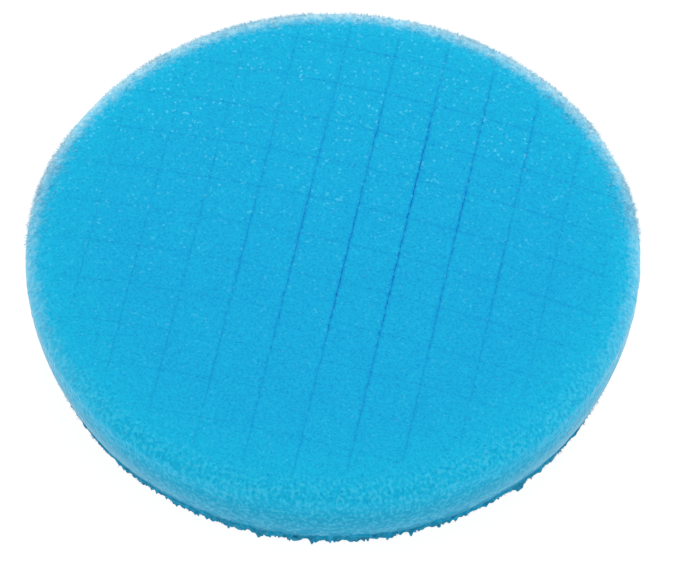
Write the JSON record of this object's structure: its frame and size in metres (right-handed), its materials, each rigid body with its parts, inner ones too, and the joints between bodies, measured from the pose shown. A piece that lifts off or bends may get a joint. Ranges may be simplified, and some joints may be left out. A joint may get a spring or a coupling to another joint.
{
  "type": "polishing pad",
  "caption": "Round foam polishing pad with a square-slit working face, a rolled-over edge and a hook-and-loop backing.",
  "frame": {"origin": "centre of the backing, in the plane of the loops' lowest points", "axes": "+Z along the pad's axis towards the working face; the straight slits run along Y and the bowed slits cross them roughly along X"},
  "size_m": [0.1524, 0.1524, 0.0274],
  "materials": {
    "foam": "matte",
    "film": "satin",
    "knit": "matte",
    "pile": "matte"
  },
  "bodies": {
    "root": {"foam_pad": "foam", "bonding_film": "film", "backing_knit": "knit", "loop_pile": "pile"}
  },
  "joints": []
}
